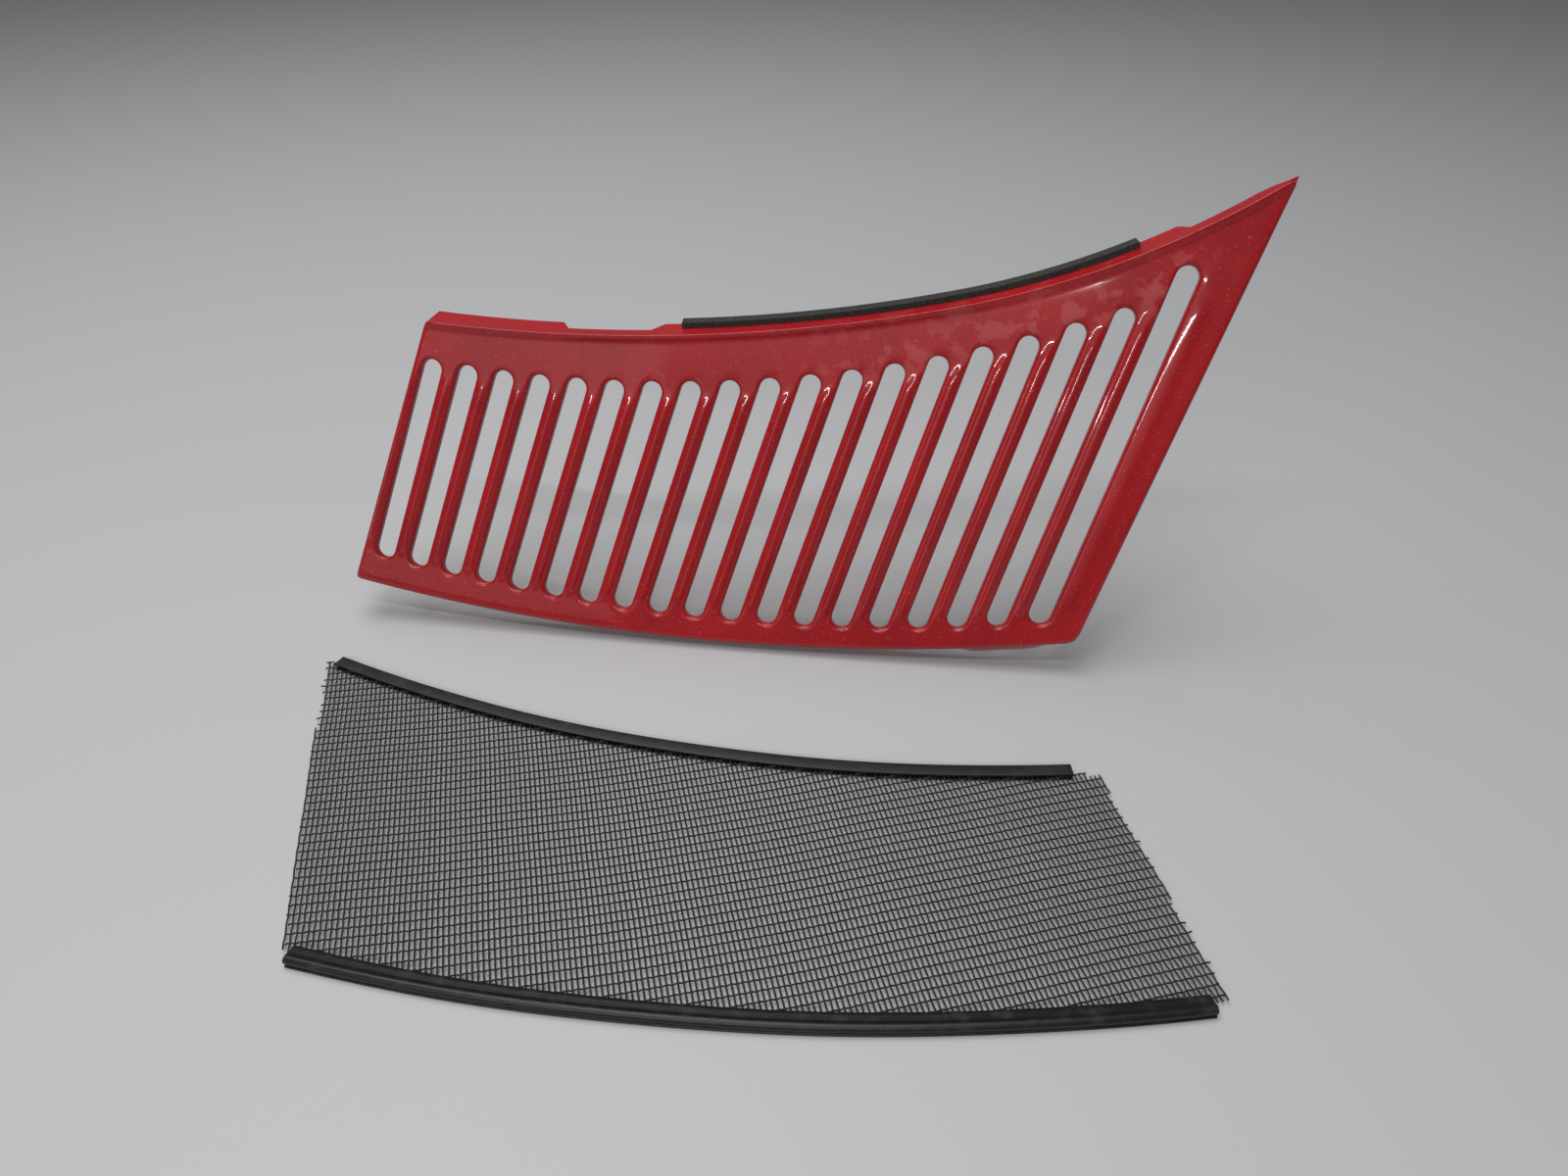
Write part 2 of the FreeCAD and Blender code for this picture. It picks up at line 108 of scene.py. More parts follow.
# ---------------------------------------------------------------- panel mesh
SIDE_STEPS = 56              # points along each line between two slots
END_STEPS = 8                # points across the top and the bottom of a slot's cell
ROUND_STEPS = 5              # rows over a slot's rounded mouth
FACE_STEPS = 5               # rows from there to the cell's outline
RETURN_SHARES = (0.3, 0.65, 1.0)   # rows down the returns and the flange
CORNER_PASSES = 1            # smoothing passes that round the corners of the outline
CORNER_REACH = 2             # points on each side of a corner that they move
SHARP_DEG = 38.0             # edges that fold more than this stay crisp
WELD = 0.02                  # points closer than this become one
FACE_INSETS = {"foot": 3.0, "right": 2.6, "crest": 2.8, "left": 2.6}   # the flat face ends here
SIDES = ("foot", "right", "crest", "left")

# Each row: insets from the outline (foot, right, crest, left), then heights against the face.
# The crest rises as a flared lip before it folds back; the other sides just fold back.
RIM_ROWS = (
    ((2.4, 2.0, 1.5, 2.0), (-0.05, -0.06, -0.02, -0.06)),
    ((1.5, 1.3, 0.9, 1.3), (-0.35, -0.35, 0.03, -0.35)),
    ((0.8, 0.7, 0.3, 0.7), (-0.9, -0.85, 0.35, -0.85)),
    ((0.3, 0.3, -1.1, 0.3), (-1.6, -1.35, 1.15, -1.35)),
    ((0.05, 0.05, -2.35, 0.05), (-2.3, -1.9, 1.65, -1.9)),
    ((0.0, 0.0, -2.75, 0.0), (-3.0, -2.6, 1.68, -2.6)),
    ((0.0, 0.0, -3.05, 0.0), (-4.0, -3.4, 1.4, -3.4)),
    ((0.0, 0.0, -3.2, 0.0), (-6.0, -4.4, 0.7, -4.4)),
)

# ---------------------------------------------------------------- marks on the paint
STAIN_ABOVE_SLOTS = 8.0
STAIN_HALF_WIDTH = 16.0
STAIN_STARTS_U = (-20.0, 50.0)
STAIN_STOPS_U = (165.0, 185.0)
STAIN_STRENGTH = 0.4
SPECK_STRENGTH = 0.35
CLEAN_ROUGHNESS = 0.36
STAINED_ROUGHNESS = 0.6

# ---------------------------------------------------------------- screen wires, row axes
MESH_MID_Z = 1.9
WIRE_RADIUS = 0.4
WIRE_SIDES = 6
CROSS_WIRE_PITCH = 2.24
LONG_WIRE_PITCH = 4.8
CROSS_WIRE_ANGLE = -69.9
LONG_WIRE_ANGLE = 20.5
LONG_WIRE_BEND_X = -45.0
LONG_WIRE_BEND_RADIUS = 2000.0
LONG_WIRE_RUN = (-300.0, 240.0)    # stretch over which wires are laid before they are cut
WIRES_EACH_WAY = 60
SHORTEST_WIRE = 4                  # in points
CROSS_WIRE_CUT = (-0.6, 0.2)       # how unevenly the wires' ends are cut
LONG_WIRE_CUT = (-1.8, 0.2)
WIRE_WAVE_X = (0.12, 9.0, 31.0)    # unevenness of the weave: size, and its two lengths
WIRE_WAVE_Y = (0.18, 13.0, 41.0)
WEAVE_SEED = 7
FAR_EDGE = ((-319.4, -29.5), (-121.0, -73.5), (78.6, -63.4))       # three points of the arc
NEAR_EDGE = ((-253.4, -213.3), (-70.0, -219.1), (120.0, -188.7))
MESH_TUCK = 4.4

# ---------------------------------------------------------------- screen edgings
TRIM_STEPS = 90
TRIM_WOBBLE = 0.15
TRIM_WOBBLE_LENGTH = 23.0
FAR_TRIM_ENDS = (-309.0, 67.5)
NEAR_TRIM_ENDS = (-252.0, 112.5)
BEAD_CENTRE = (2.1, 3.0)
BEAD_RADIUS = 2.0
BEAD_ARC_DEG = (218.0, 40.0)
BEAD_STEPS = 16

# Sections as (distance inwards from the screen's edge, height) points; both grip the mesh in a groove.
FAR_SECTION = ((6.8, 0.0), (0.5, 0.0), (0.0, 0.5), (0.0, 3.2), (0.3, 3.65), (0.9, 3.8), (3.4, 3.68),
               (6.2, 3.8), (6.8, 3.65), (7.0, 3.2), (7.0, 2.8), (2.7, 2.8), (2.7, 1.0), (7.0, 1.0),
               (7.0, 0.3))
NEAR_FOOT = ((7.9, 0.0), (0.3, 0.0), (0.0, 0.3), (0.1, 0.75), (0.7, 0.95), (0.95, 1.35))
NEAR_HEAD = ((4.6, 4.1), (6.4, 3.95), (7.9, 3.75), (8.3, 3.4), (8.3, 2.8), (4.0, 2.8), (4.0, 1.0),
             (8.3, 1.0), (8.3, 0.35))

# ---------------------------------------------------------------- colours
RED = (0.36, 0.0055, 0.010, 1.0)
RED_DEEP = (0.29, 0.004, 0.008, 1.0)
CHALK = (0.50, 0.13, 0.12, 1.0)
PLASTIC_BLACK = (0.006, 0.006, 0.006, 1.0)
PLASTIC_DUSTY = (0.022, 0.021, 0.018, 1.0)
WIRE_BLACK = (0.006, 0.006, 0.006, 1.0)
WIRE_WORN = (0.016, 0.015, 0.014, 1.0)
FOAM_BLACK = (0.010, 0.010, 0.009, 1.0)
FOAM_WORN = (0.045, 0.043, 0.036, 1.0)
ZINC_DULL = (0.50, 0.47, 0.38, 1.0)
ZINC_BRIGHT = (0.66, 0.63, 0.55, 1.0)
FLOOR_GREY = (0.43, 0.43, 0.435, 1.0)
SKY = (0.86, 0.89, 0.94, 1.0)

# ---------------------------------------------------------------- stage, in metres and watts
FLOOR_HALF = 6.0
SKY_STRENGTH = 0.16
LIGHT_TARGET = (-0.08, -0.02, 0.08)
LIGHTS = (
    ("overhead", (-0.5, 0.3, 1.9), (1.5, 1.5), 30.0),
    ("far_window", (-1.3, -2.3, 0.85), (1.2, 1.2), 3.0),
    ("tube", (-0.25, -1.45, 0.95), (1.2, 0.03), 8.0),
    ("second_tube", (-0.15, -0.75, 1.75), (1.2, 0.03), 8.0),
)


# ================================================================ sheet axes
def stance():
    """Matrix from sheet axes in millimetres to the row frame in metres."""
    slant = Matrix.Rotation(math.radians(-SLANT_DEG), 4, "Z")
    lean = Matrix.Rotation(math.radians(LEAN_DEG), 4, "X")
    return Matrix.Scale(MM, 4) @ Matrix.Translation(PANEL_ZERO) @ lean @ slant


def circle_v(centre, radius, u):
    return centre[1] - np.sqrt(radius ** 2 - (u - centre[0]) ** 2)


def crest_v(inset, u):
    """Height of the top edge at u, moved inwards by inset."""
    ray = np.array([math.cos(math.radians(CREST_JOIN_ANGLE)), math.sin(math.radians(CREST_JOIN_ANGLE))])
    join = CREST_JOIN[0] + inset * ray[0]
    left = np.array(CREST_JOIN) - CREST_RADIUS_LEFT * ray
    right = np.array(CREST_JOIN) - CREST_RADIUS_RIGHT * ray
    if u < join:
        return circle_v(left, CREST_RADIUS_LEFT + inset, u)
    return circle_v(right, CREST_RADIUS_RIGHT + inset, u)


def foot_v(inset, u):
    return circle_v(FOOT_CENTRE, FOOT_RADIUS - inset, u)


def slot_layout():
    """(u, foot v, top v, width) of every slot."""
    slots = []
    for index in range(SLOT_COUNT):
        u = SLOT_FIRST_U + index * SLOT_PITCH
        width = SLOT_WIDTH
        extra = 0.0
        if index == SLOT_COUNT - 1:
            u += LAST_SLOT_EXTRA_U
            width = LAST_SLOT_WIDTH
            extra = LAST_SLOT_EXTRA_TOP
        foot = circle_v(SLOT_FOOT_CENTRE, SLOT_FOOT_RADIUS, u)
        top = circle_v(SLOT_TOP_CENTRE, SLOT_TOP_RADIUS, u) + extra
        slots.append((u, foot, top, width))
    return slots


def smooth_step(low, high, value):
    t = min(1.0, max(0.0, (value - low) / (high - low)))
    return t * t * (3.0 - 2.0 * t)


def crown_w(u, v, slot):
    """Swell of the bars at (u, v), which fades out towards both ends of the slots."""
    u_mid, _, _, width = slot
    out = max(0.0, abs(u - u_mid) - 0.5 * width - SLOT_ROUND)
    below_top = circle_v(SLOT_TOP_CENTRE, SLOT_TOP_RADIUS, u) - v
    above_foot = v - circle_v(SLOT_FOOT_CENTRE, SLOT_FOOT_RADIUS, u)
    (top_full, top_none), (foot_none, foot_full) = CROWN_FADE
    share = smooth_step(top_none, top_full, below_top) * smooth_step(foot_none, foot_full, above_foot)
    share *= 1.0 - smooth_step(*CROWN_END, out)
    return BAR_CROWN * share * math.sin(0.5 * math.pi * min(1.0, out / BAR_CROWN_RUN))


# ================================================================ mesh tools
def new_object(name, verts, faces):
    mesh = bpy.data.meshes.new(name)
    mesh.from_pydata([tuple(v) for v in verts], [], [tuple(f) for f in faces])
    mesh.update()
    mesh.polygons.foreach_set("use_smooth", [True] * len(mesh.polygons))
    obj = bpy.data.objects.new(name, mesh)
    bpy.context.scene.collection.objects.link(obj)
    return obj


def modify(obj, kind, **settings):
    modifier = obj.modifiers.new(kind, kind)
    for key, value in settings.items():
        setattr(modifier, key, value)
    return modifier


def sweep(name, stations, section):
    """Closed skin over stations; each has an origin and two axes, section points are (a, b)."""
    verts = []
    for origin, axis_a, axis_b in stations:
        verts += [origin + a * axis_a + b * axis_b for a, b in section]
    n = len(section)
    faces = []
    for k in range(len(stations) - 1):
        for i in range(n):
            j = (i + 1) % n
            faces.append((k * n + i, k * n + j, (k + 1) * n + j, (k + 1) * n + i))
    faces.append(tuple(range(n - 1, -1, -1)))
    faces.append(tuple((len(stations) - 1) * n + i for i in range(n)))
    return new_object(name, verts, faces)


# ================================================================ panel surface
def cell_lines():
    """Lines between slots, from foot to crest: lists of (u, v) that neighbouring cells share."""
    slots = slot_layout()
    lines = []
    for index in range(SLOT_COUNT + 1):
        points = []
        for step in range(SIDE_STEPS + 1):
            t = step / SIDE_STEPS
            if index == 0:
                u = LEFT_LINE[0][0] + FACE_INSETS["left"] + (LEFT_LINE[1][0] - LEFT_LINE[0][0]) * t
            elif index == SLOT_COUNT:
                u = RIGHT_LINE[0][0] - FACE_INSETS["right"] + (RIGHT_LINE[1][0] - RIGHT_LINE[0][0]) * t
            else:
                u = 0.5 * (slots[index - 1][0] + slots[index][0])
            low = foot_v(FACE_INSETS["foot"], u)
            high = crest_v(FACE_INSETS["crest"], u)
            points.append((u, low + (high - low) * t))
        lines.append(points)
    return lines


def cell_rim(left, right):
    """Closed outline of one slot's cell, starting at its lower left corner."""
    rim = []
    for step in range(END_STEPS):
        u = left[0][0] + (right[0][0] - left[0][0]) * step / END_STEPS
        rim.append((u, foot_v(FACE_INSETS["foot"], u)))
    rim += right[:-1]
    for step in range(END_STEPS):
        u = right[-1][0] + (left[-1][0] - right[-1][0]) * step / END_STEPS
        rim.append((u, crest_v(FACE_INSETS["crest"], u)))
    rim += left[:0:-1]
    return rim


def add_cell(verts, faces, rim, slot):
    """Quads from the back of the slot's collar, over its rounded mouth, to the cell's outline."""
    u_mid, foot, top, width = slot
    r = 0.5 * width
    start = len(verts)
    for u, v in rim:
        centre_v = min(max(v, foot + r), top - r)
        ray = np.array([u - u_mid, v - centre_v])
        length = np.hypot(*ray)
        ray /= length
        edge = np.array([u_mid, centre_v]) + ray * r
        column = [(edge, -COLLAR_DEPTH), (edge, -0.5 * (COLLAR_DEPTH + SLOT_ROUND))]
        for step in range(ROUND_STEPS + 1):
            angle = 0.5 * math.pi * step / ROUND_STEPS
            out = SLOT_ROUND * (1.0 - math.cos(angle))
            column.append((edge + ray * out, -SLOT_ROUND * (1.0 - math.sin(angle))))
        run = length - r - SLOT_ROUND
        for step in range(1, FACE_STEPS + 1):
            point = edge + ray * (SLOT_ROUND + run * step / FACE_STEPS)
            column.append((point, crown_w(*point, slot)))
        verts += [(p[0], p[1], w) for p, w in column]
    rows = len(verts[start:]) // len(rim)
    for k in range(len(rim)):
        a = start + k * rows
        b = start + ((k + 1) % len(rim)) * rows
        for j in range(rows - 1):
            faces.append((a + j, b + j, b + j + 1, a + j + 1))
    return [start + k * rows + rows - 1 for k in range(len(rim))]


def flange_length(u):
    """Length of the flange at u, cut back in the notch and towards the tip."""
    start, end = NOTCH_U
    notch = min(smooth_step(start, start + NOTCH_SLOPE, u), smooth_step(-end, NOTCH_SLOPE - end, -u))
    length = FLANGE_LENGTH + (FLANGE_NOTCH_LENGTH - FLANGE_LENGTH) * notch
    at_tip = smooth_step(TIP_NOTCH_U, TIP_NOTCH_U + NOTCH_SLOPE, u)
    length += (FLANGE_TIP_LENGTH - FLANGE_LENGTH) * at_tip
    return length * (1.0 - (1.0 - FLANGE_TIP_SHARE) * smooth_step(*FLANGE_TIP_TAPER_U, u))


def flange_point(run):
    """Inset and height of the flange's outer side, run down its slope."""
    lean = math.radians(FLANGE_LEAN_DEG)
    return CREST_INSET - run * math.sin(lean), FLANGE_START_W - run * math.cos(lean)


def tongue(u):
    """Share of the tongue's drop at u."""
    low, high = TONGUE_U
    if not low < u < high:
        return 0.0
    t = (u - low) / (high - low)
    out, back = TONGUE_RAMPS
    return min(1.0, out * t, back * (1.0 - t))


def rim_loop_specs(lines):
    """Side, share along it, for every point of the panel's outline, in order."""
    specs = []
    cells = SLOT_COUNT * END_STEPS
    lows = [line[0][0] for line in lines]
    span = lows[-1] - lows[0]
    for k in range(cells):
        cell, step = divmod(k, END_STEPS)
        u = lows[cell] + (lows[cell + 1] - lows[cell]) * step / END_STEPS
        specs.append(("foot", (u - lows[0]) / span))
    specs += [("right", k / SIDE_STEPS) for k in range(SIDE_STEPS)]
    tops = [line[-1][0] for line in lines]
    span = tops[-1] - tops[0]
    for k in range(cells):
        cell, step = divmod(k, END_STEPS)
        high, low = tops[SLOT_COUNT - cell], tops[SLOT_COUNT - cell - 1]
        u = high + (low - high) * step / END_STEPS
        specs.append(("crest", (tops[-1] - u) / span))
    specs += [("left", k / SIDE_STEPS) for k in range(SIDE_STEPS)]
    return specs


def outline_corners(insets):
    """Corners of the outline moved inwards by four insets."""
    foot, right, crest, left = insets
    u_left_low = LEFT_LINE[0][0] + left
    u_right_low = RIGHT_LINE[0][0] - right
    u_right_high = RIGHT_LINE[1][0] - right
    u_left_high = LEFT_LINE[1][0] + left
    return {
        "foot": ((u_left_low, foot_v(foot, u_left_low)), (u_right_low, foot_v(foot, u_right_low))),
        "right": ((u_right_low, foot_v(foot, u_right_low)), (u_right_high, crest_v(crest, u_right_high))),
        "crest": ((u_right_high, crest_v(crest, u_right_high)), (u_left_high, crest_v(crest, u_left_high))),
        "left": ((u_left_high, crest_v(crest, u_left_high)), (u_left_low, foot_v(foot, u_left_low))),
    }


def rim_row(specs, insets, heights, round_corners):
    """One closed row of points around the panel, at given insets and heights."""
    corners = outline_corners(insets)
    height = dict(zip(SIDES, heights))
    start, run = TONGUE_DEPTHS
    drop = TONGUE_DROP * min(1.0, max(0.0, -heights[0] - start) / run)
    flat = []
    for side, t in specs:
        (u0, v0), (u1, v1) = corners[side]
        u = u0 + (u1 - u0) * t
        v = v0 + (v1 - v0) * t
        if side == "foot":
            v = foot_v(insets[0] - tongue(u) * drop, u)
        if side == "crest":
            v = crest_v(insets[2], u)
        flat.append([u, v, height[side]])
    flat = np.array(flat)
    for _ in range(round_corners):
        flat = smooth_corners(flat, specs)
    return flat


def smooth_corners(flat, specs):
    """One pass of rounding on the points near the four corners."""
    count = len(specs)
    starts = [k for k in range(count) if specs[k][0] != specs[k - 1][0]]
    result = flat.copy()
    for corner in starts:
        for offset in range(-CORNER_REACH, CORNER_REACH + 1):
            k = (corner + offset) % count
            weight = 0.5 * (1.0 - abs(offset) / (CORNER_REACH + 1.0))
            middle = 0.5 * (flat[k - 1] + flat[(k + 1) % count])
            result[k] = flat[k] * (1.0 - weight) + middle * weight
    return result


def add_rims(verts, faces, lines, outline):
    """Rows that carry the face over its edges into the lip, the flange and the returns."""
    specs = rim_loop_specs(lines)
    previous = outline
    for index, (insets, heights) in enumerate(RIM_ROWS):
        row = rim_row(specs, insets, heights, min(index, CORNER_PASSES))
        previous = add_row(verts, faces, previous, row)
    for share in RETURN_SHARES:
        row = rim_row(specs, *RIM_ROWS[-1], CORNER_PASSES)
        for k, (side, _) in enumerate(specs):
            deepen(row[k], side, share)
        previous = add_row(verts, faces, previous, row)


def deepen(point, side, share):
    """Move a point of the last row towards the back edge of its return or flange."""
    u = point[0]
    if side == "crest":
        inset, height = flange_point(flange_length(u) * share)
        point[1] = crest_v(inset, u)
        point[2] = height
        return
    depth = FOOT_RIM_DEPTH if side == "foot" else END_RIM_DEPTH
    point[2] += (-depth - point[2]) * share
    if side == "foot":
        point[1] -= tongue(u) * TONGUE_DROP * share


def add_row(verts, faces, previous, row):
    start = len(verts)
    verts += [tuple(point) for point in row]
    count = len(row)
    for k in range(count):
        after = (k + 1) % count
        faces.append((previous[k], previous[after], start + after, start + k))
    return [start + k for k in range(count)]


def panel_surface():
    """Outer skin of the pressing as one mesh, in sheet axes."""
    verts, faces = [], []
    lines = cell_lines()
    rims = []
    for index, slot in enumerate(slot_layout()):
        rim = cell_rim(lines[index], lines[index + 1])
        rims.append(add_cell(verts, faces, rim, slot))
    outline = []
    for rim in rims:
        outline += rim[:END_STEPS]
    outline += rims[-1][END_STEPS:END_STEPS + SIDE_STEPS]
    for rim in reversed(rims):
        outline += rim[END_STEPS + SIDE_STEPS:2 * END_STEPS + SIDE_STEPS]
    outline += rims[0][2 * END_STEPS + SIDE_STEPS:]
    add_rims(verts, faces, lines, outline)
    return verts, faces


def stain_share(u, v):
    """How much dried water has marked the paint: most above the slots on the right."""
    off_line = v - circle_v(SLOT_TOP_CENTRE, SLOT_TOP_RADIUS, u) - STAIN_ABOVE_SLOTS
    across = math.exp(-(off_line / STAIN_HALF_WIDTH) ** 2)
    return across * smooth_step(*STAIN_STARTS_U, u) * (1.0 - smooth_step(*STAIN_STOPS_U, u))


def make_panel():
    verts, faces = panel_surface()
    obj = new_object("painted_panel", verts, faces)
    bm = bmesh.new()
    bm.from_mesh(obj.data)
    bmesh.ops.remove_doubles(bm, verts=bm.verts, dist=WELD)
    bmesh.ops.recalc_face_normals(bm, faces=bm.faces)
    lift = sum(face.normal.z * face.calc_area() for face in bm.faces)
    if lift < 0.0:
        bmesh.ops.reverse_faces(bm, faces=bm.faces)
    places = [(v.co.x, v.co.y) for v in bm.verts]
    bmesh.ops.transform(bm, matrix=stance(), verts=bm.verts)
    bm.to_mesh(obj.data)
    bm.free()
    stain = obj.data.attributes.new("stain", "FLOAT", "POINT")
    stain.data.foreach_set("value", [stain_share(u, v) for u, v in places])
    modify(obj, "SOLIDIFY", thickness=SHEET * MM, offset=-1.0, use_quality_normals=True)
    modify(obj, "EDGE_SPLIT", split_angle=math.radians(SHARP_DEG))
    obj.data.materials.append(red_paint())
    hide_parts("grille_panel")
    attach(obj, "grille")
    return obj


# ================================================================ screen
def circle_through(points):
    """Centre and radius of the circle through three points."""
    (ax, ay), (bx, by), (cx, cy) = points
    d = 2.0 * (ax * (by - cy) + bx * (cy - ay) + cx * (ay - by))
    a2, b2, c2 = ax * ax + ay * ay, bx * bx + by * by, cx * cx + cy * cy
    x = (a2 * (by - cy) + b2 * (cy - ay) + c2 * (ay - by)) / d
    y = (a2 * (cx - bx) + b2 * (ax - cx) + c2 * (bx - ax)) / d
    return (x, y), math.hypot(ax - x, ay - y)


def unit(angle_deg):
    return np.array([math.cos(math.radians(angle_deg)), math.sin(math.radians(angle_deg))])


def inside_mesh(points, side_cut):
    """True where points lie between the two edges and the two sides, moved inwards by side_cut."""
    far_centre, far_radius = circle_through(FAR_EDGE)
    near_centre, near_radius = circle_through(NEAR_EDGE)
    x, y = points[:, 0], points[:, 1]
    ok = np.hypot(x - far_centre[0], y - far_centre[1]) > far_radius + MESH_TUCK
    ok &= np.hypot(x - near_centre[0], y - near_centre[1]) < near_radius - MESH_TUCK
    for low, high, sign in ((FAR_EDGE[0], NEAR_EDGE[0], 1.0), (FAR_EDGE[2], NEAR_EDGE[2], -1.0)):
        side = np.array(high) - np.array(low)
        normal = np.array([-side[1], side[0]]) / np.hypot(*side) * sign
        ok &= (points - np.array(low)) @ normal > side_cut
    return ok


def tube(verts, faces, path, radius):
    """Round wire through the points of a path, closed at both ends."""
    path = np.asarray(path)
    tangent = np.gradient(path, axis=0)
    tangent /= np.linalg.norm(tangent, axis=1)[:, None]
    side = np.cross(tangent, (0.0, 0.0, 1.0))
    side /= np.linalg.norm(side, axis=1)[:, None]
    rise = np.cross(side, tangent)
    start = len(verts)
    for k in range(WIRE_SIDES):
        angle = 2.0 * math.pi * k / WIRE_SIDES
        ring = path + radius * (math.cos(angle) * side + math.sin(angle) * rise)
        verts.extend(ring.tolist())
    n = len(path)
    for k in range(WIRE_SIDES):
        after = (k + 1) % WIRE_SIDES
        for i in range(n - 1):
            a, b = start + k * n + i, start + after * n + i
            faces.append((a, b, b + 1, a + 1))
    faces.append(tuple(start + k * n for k in range(WIRE_SIDES - 1, -1, -1)))
    faces.append(tuple(start + k * n + n - 1 for k in range(WIRE_SIDES)))


def long_line(run):
    """Point of the middle long wire, run from its bend: straight to the right, an arc to the left."""
    join = np.array([LONG_WIRE_BEND_X, mesh_centre()[1]])
    if run >= 0.0:
        return join + unit(LONG_WIRE_ANGLE) * run
    sweep_deg = math.degrees(-run / LONG_WIRE_BEND_RADIUS)
    centre = join + unit(LONG_WIRE_ANGLE + 90.0) * LONG_WIRE_BEND_RADIUS
    return centre + unit(LONG_WIRE_ANGLE - 90.0 - sweep_deg) * LONG_WIRE_BEND_RADIUS


def mesh_centre():
    return np.mean(np.array([FAR_EDGE[0], FAR_EDGE[2], NEAR_EDGE[0], NEAR_EDGE[2]]), axis=0)


def weave():
    """Cross wires and long wires that pass over and under each other, as two lots of verts and faces."""
    rng = np.random.default_rng(WEAVE_SEED)
    across = unit(CROSS_WIRE_ANGLE + 90.0)
    down = unit(CROSS_WIRE_ANGLE)
    origin = long_line(0.0)
    middle = np.array([long_line(run) for run in np.arange(*LONG_WIRE_RUN, 0.5 * CROSS_WIRE_PITCH)])
    column = (middle - origin) @ across / CROSS_WIRE_PITCH
    offset = (middle - origin) @ down
    cross, long = ([], []), ([], [])
    for index in range(int(column.min()), int(column.max()) + 1):
        shift = np.interp(index, column, offset)
        steps = np.arange(-WIRES_EACH_WAY, WIRES_EACH_WAY, 0.5)
        flat = origin + np.outer(np.full(len(steps), index * CROSS_WIRE_PITCH), across)
        flat = flat + np.outer(shift + steps * LONG_WIRE_PITCH, down)
        height = MESH_MID_Z + WIRE_RADIUS * np.cos(math.pi * (steps + index))
        keep = inside_mesh(flat, rng.uniform(*CROSS_WIRE_CUT))
        add_wire(cross, flat, height, keep)
    for index in range(-WIRES_EACH_WAY, WIRES_EACH_WAY):
        flat = middle + down * (index * LONG_WIRE_PITCH)
        height = MESH_MID_Z - WIRE_RADIUS * np.cos(math.pi * (column + index))
        keep = inside_mesh(flat, rng.uniform(*LONG_WIRE_CUT))
        add_wire(long, flat, height, keep)
    return cross, long


def add_wire(store, flat, height, keep):
    """Adds the kept points of a wire, with the mesh's gentle unevenness."""
    if keep.sum() < SHORTEST_WIRE:
        return
    points = np.column_stack([flat, height])[keep]
    size, short, far = WIRE_WAVE_X
    points[:, 0] += size * np.sin(points[:, 1] / short + points[:, 0] / far)
    size, short, far = WIRE_WAVE_Y
    points[:, 1] += size * np.sin(points[:, 0] / short + points[:, 1] / far)
    tube(store[0], store[1], points * MM, WIRE_RADIUS * MM)


def make_mesh():
    cross, long = weave()
    material = wire_coating()
    layers = (("woven_cross_wires", "screen_cross_wires", cross),
              ("woven_long_wires", "screen_long_wires", long))
    for name, node, (verts, faces) in layers:
        obj = new_object(name, verts, faces)
        obj.data.materials.append(material)
        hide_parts(node)
        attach(obj, "screen")


# ================================================================ trims
def near_section():
    """Thin foot, round bead above it, and a flat head that covers the mesh's edge."""
    bead = []
    for angle in np.linspace(*BEAD_ARC_DEG, BEAD_STEPS):
        x, z = np.array(BEAD_CENTRE) + BEAD_RADIUS * unit(angle)
        bead.append((x, z))
    return list(NEAR_FOOT) + bead + list(NEAR_HEAD)


def edge_stations(points, ends, toward):
    """Stations along an edge of the screen; their first axis points inwards and the second up."""
    centre, radius = circle_through(points)
    stations = []
    for x in np.linspace(*ends, TRIM_STEPS):
        y = circle_v(centre, radius, x)
        inwards = np.array([x - centre[0], y - centre[1], 0.0]) * (toward / radius)
        origin = np.array([x, y + TRIM_WOBBLE * math.sin(x / TRIM_WOBBLE_LENGTH), 0.0])
        stations.append((origin * MM, inwards * MM, np.array([0.0, 0.0, MM])))
    return stations


def make_trim(name, node, section, points, ends, toward, material):
    obj = sweep(name, edge_stations(points, ends, toward), section)
    bm = bmesh.new()
    bm.from_mesh(obj.data)
    bmesh.ops.recalc_face_normals(bm, faces=bm.faces)
    bm.to_mesh(obj.data)
    bm.free()
    modify(obj, "EDGE_SPLIT", split_angle=math.radians(SHARP_DEG))
    obj.data.materials.append(material)
    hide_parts(node)
    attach(obj, "screen")


def make_trims():
    make_trim("rear_edging", "screen_rear_trim", FAR_SECTION, FAR_EDGE,
              FAR_TRIM_ENDS, 1.0, black_plastic("black_plastic", 0.42))
    make_trim("front_edging", "screen_front_trim", near_section(), NEAR_EDGE,
              NEAR_TRIM_ENDS, -1.0, black_plastic("black_rubber", 0.33))


# ================================================================ materials
MIX_COLOR_INPUTS = (6, 7)    # the Mix node's colour sockets share their names with others
MIX_COLOR_OUTPUT = 2


def shader(name, **sockets):
    """New material; sockets are named with underscores for spaces."""
    material = bpy.data.materials.new(name)
    material.use_nodes = True
    tree = material.node_tree
    bsdf = tree.nodes["Principled BSDF"]
    for key, value in sockets.items():
        bsdf.inputs[key.replace("_", " ")].default_value = value
    return material, tree, bsdf


